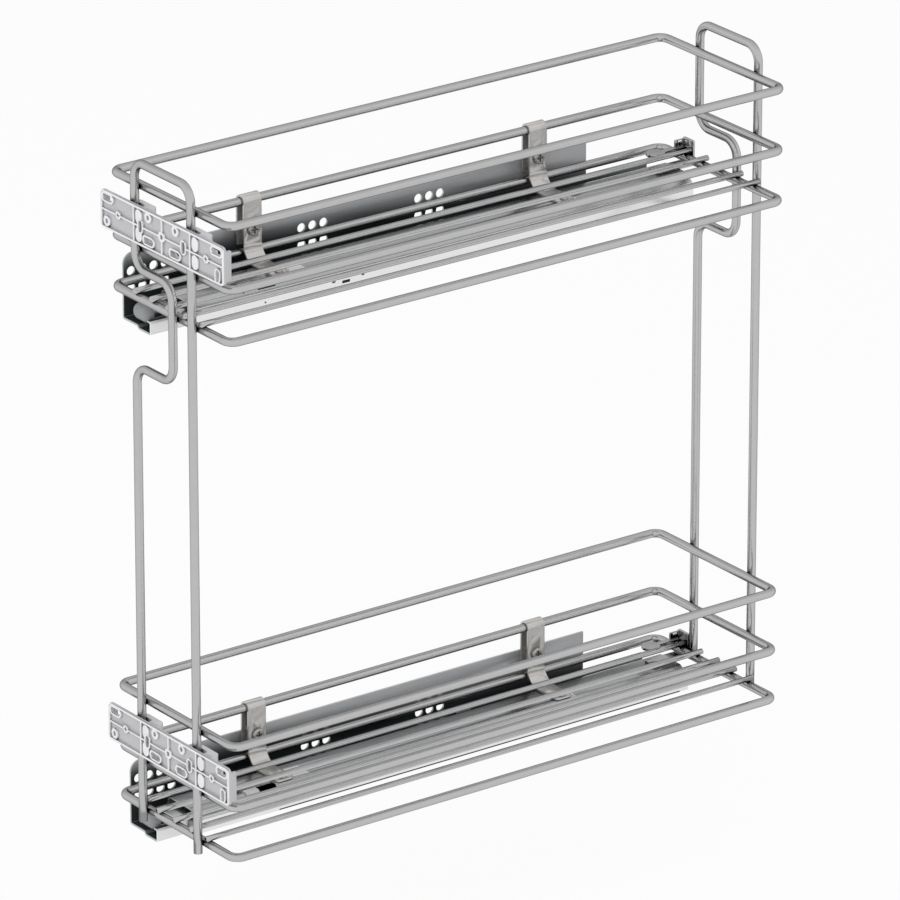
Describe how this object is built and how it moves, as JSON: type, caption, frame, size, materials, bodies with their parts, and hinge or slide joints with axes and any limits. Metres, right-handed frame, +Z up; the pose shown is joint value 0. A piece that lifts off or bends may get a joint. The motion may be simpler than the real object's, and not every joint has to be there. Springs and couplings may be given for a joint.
{
  "type": "pull-out detergent rack",
  "caption": "Tiered pull-out wire rack on soft-closing roller runners fixed to one cabinet wall, with brackets that carry the door; for bottles in a narrow base cabinet.",
  "frame": {"origin": "the first fixing hole of the lower cabinet rail, on the plane of the cabinet's side wall", "axes": "+X from the side wall across to the rack, +Y into the cabinet away from the door, +Z up; the rack pulls out along -Y"},
  "size_m": [0.154, 0.4726, 0.4967],
  "materials": {
    "satin_wire": "satin nickel-grey plated round wire",
    "galvanised_sheet": "bright galvanised sheet with faint rolling lines",
    "strap_steel": "satin plated strip, slightly warmer than the wires",
    "hook_steel": "zinc plated strip",
    "screw_steel": "zinc plated, cross recess darker",
    "dark_steel": "blackened steel",
    "die_cast": "pale die-casting, slightly grained",
    "grey_plastic": "light grey moulded plastic",
    "roller_plastic": "hard pale plastic",
    "cage_steel": "thin pressed strip",
    "cylinder_steel": "drawn tube and ground rod"
  },
  "bodies": {
    "cabinet_side": {"lower_cabinet_rail": "galvanised_sheet", "lower_damper_housing": "grey_plastic", "lower_damper_cylinder": "cylinder_steel", "upper_cabinet_rail": "galvanised_sheet", "upper_damper_housing": "grey_plastic", "upper_damper_cylinder": "cylinder_steel"},
    "rack": {"front_frame": "satin_wire", "rear_frame": "satin_wire", "lower_bottom_ring": "satin_wire", "lower_middle_ring": "satin_wire", "lower_top_ring": "satin_wire", "lower_floor_wires": "satin_wire", "lower_basket_rail": "galvanised_sheet", "lower_basket_rail_cap": "grey_plastic", "lower_front_latch": "grey_plastic", "lower_driver_pin": "screw_steel", "lower_front_strap": "strap_steel", "lower_rear_strap": "strap_steel", "lower_strap_screws": "screw_steel", "lower_foot_rivets": "screw_steel", "lower_rear_hook": "hook_steel", "lower_hook_arm": "hook_steel", "lower_door_bracket": "die_cast", "lower_wire_clamp": "die_cast", "lower_grub_screws": "dark_steel", "lower_bracket_screws": "screw_steel", "upper_bottom_ring": "satin_wire", "upper_middle_ring": "satin_wire", "upper_top_ring": "satin_wire", "upper_floor_wires": "satin_wire", "upper_basket_rail": "galvanised_sheet", "upper_basket_rail_cap": "grey_plastic", "upper_front_latch": "grey_plastic", "upper_driver_pin": "screw_steel", "upper_front_strap": "strap_steel", "upper_rear_strap": "strap_steel", "upper_strap_screws": "screw_steel", "upper_foot_rivets": "screw_steel", "upper_rear_hook": "hook_steel", "upper_hook_arm": "hook_steel", "upper_door_bracket": "die_cast", "upper_wire_clamp": "die_cast", "upper_grub_screws": "dark_steel", "upper_bracket_screws": "screw_steel"},
    "lower_middle_slide": {"lower_middle_rail": "galvanised_sheet", "lower_middle_rail_nose": "grey_plastic"},
    "lower_outer_race": {"lower_outer_cage": "cage_steel", "lower_outer_rollers": "roller_plastic"},
    "lower_inner_race": {"lower_inner_cage": "cage_steel", "lower_inner_rollers": "roller_plastic"},
    "lower_soft_close": {"lower_damper_catch": "grey_plastic", "lower_damper_rod": "cylinder_steel"},
    "upper_middle_slide": {"upper_middle_rail": "galvanised_sheet", "upper_middle_rail_nose": "grey_plastic"},
    "upper_outer_race": {"upper_outer_cage": "cage_steel", "upper_outer_rollers": "roller_plastic"},
    "upper_inner_race": {"upper_inner_cage": "cage_steel", "upper_inner_rollers": "roller_plastic"},
    "upper_soft_close": {"upper_damper_catch": "grey_plastic", "upper_damper_rod": "cylinder_steel"}
  },
  "joints": [
    {"name": "pull_out", "type": "slide", "parent": "cabinet_side", "child": "rack", "axis": [0, -1, 0], "range_m": [0, 0.45]},
    {"name": "lower_middle_slide_travel", "type": "slide", "parent": "cabinet_side", "child": "lower_middle_slide", "axis": [0, -1, 0], "range_m": [0, 0.225]},
    {"name": "lower_outer_race_travel", "type": "slide", "parent": "cabinet_side", "child": "lower_outer_race", "axis": [0, -1, 0], "range_m": [0, 0.1125]},
    {"name": "lower_inner_race_travel", "type": "slide", "parent": "cabinet_side", "child": "lower_inner_race", "axis": [0, -1, 0], "range_m": [0, 0.3375]},
    {"name": "lower_soft_close_travel", "type": "slide", "parent": "cabinet_side", "child": "lower_soft_close", "axis": [0, -1, 0], "range_m": [0, 0.045]},
    {"name": "upper_middle_slide_travel", "type": "slide", "parent": "cabinet_side", "child": "upper_middle_slide", "axis": [0, -1, 0], "range_m": [0, 0.225]},
    {"name": "upper_outer_race_travel", "type": "slide", "parent": "cabinet_side", "child": "upper_outer_race", "axis": [0, -1, 0], "range_m": [0, 0.1125]},
    {"name": "upper_inner_race_travel", "type": "slide", "parent": "cabinet_side", "child": "upper_inner_race", "axis": [0, -1, 0], "range_m": [0, 0.3375]},
    {"name": "upper_soft_close_travel", "type": "slide", "parent": "cabinet_side", "child": "upper_soft_close", "axis": [0, -1, 0], "range_m": [0, 0.045]}
  ],
  "couplings": [
    {"joint": "lower_middle_slide_travel", "follows": "pull_out", "ratio": 0.5},
    {"joint": "lower_outer_race_travel", "follows": "pull_out", "ratio": 0.25},
    {"joint": "lower_inner_race_travel", "follows": "pull_out", "ratio": 0.75},
    {"joint": "upper_middle_slide_travel", "follows": "pull_out", "ratio": 0.5},
    {"joint": "upper_outer_race_travel", "follows": "pull_out", "ratio": 0.25},
    {"joint": "upper_inner_race_travel", "follows": "pull_out", "ratio": 0.75}
  ]
}
